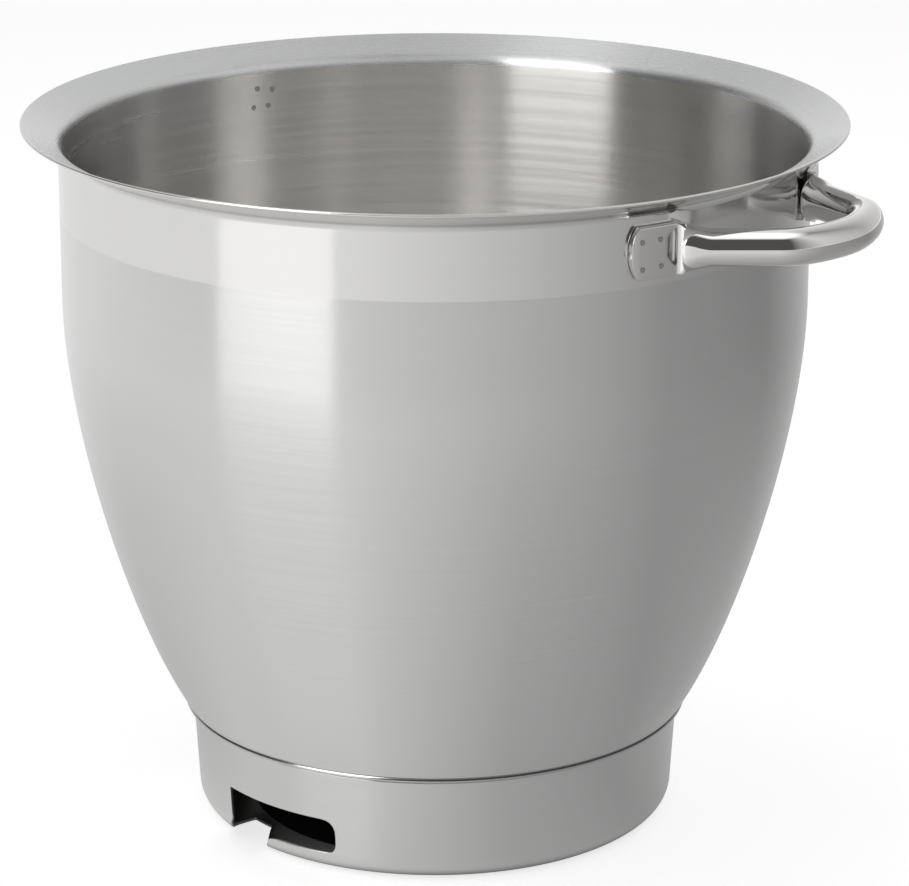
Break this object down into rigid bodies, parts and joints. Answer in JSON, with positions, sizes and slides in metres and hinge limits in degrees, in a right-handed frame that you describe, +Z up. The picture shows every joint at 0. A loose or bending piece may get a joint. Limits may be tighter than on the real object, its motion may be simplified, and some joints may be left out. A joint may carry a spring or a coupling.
{
  "type": "stand mixer bowl",
  "caption": "Tall stainless steel mixing bowl with a flared rim, D-shaped tube handles and a base ring with bayonet slots that locks into a mixer.",
  "frame": {"origin": "on the bowl's axis, in the plane that the base ring stands on", "axes": "+Z up along the bowl's axis towards the rim; -Y towards the side where the first bayonet slot shows; +X towards the side of the right handle"},
  "size_m": [0.268, 0.26, 0.2276],
  "materials": {
    "shell_steel": "stainless sheet, brushed round the axis, with a mirror polished band under the rim",
    "ring_steel": "stainless sheet, fine satin",
    "handle_steel": "stainless tube, mirror polished"
  },
  "bodies": {
    "root": {"bowl_shell": "shell_steel", "base_ring": "ring_steel", "handle_right": "handle_steel", "handle_left": "handle_steel"}
  },
  "joints": []
}
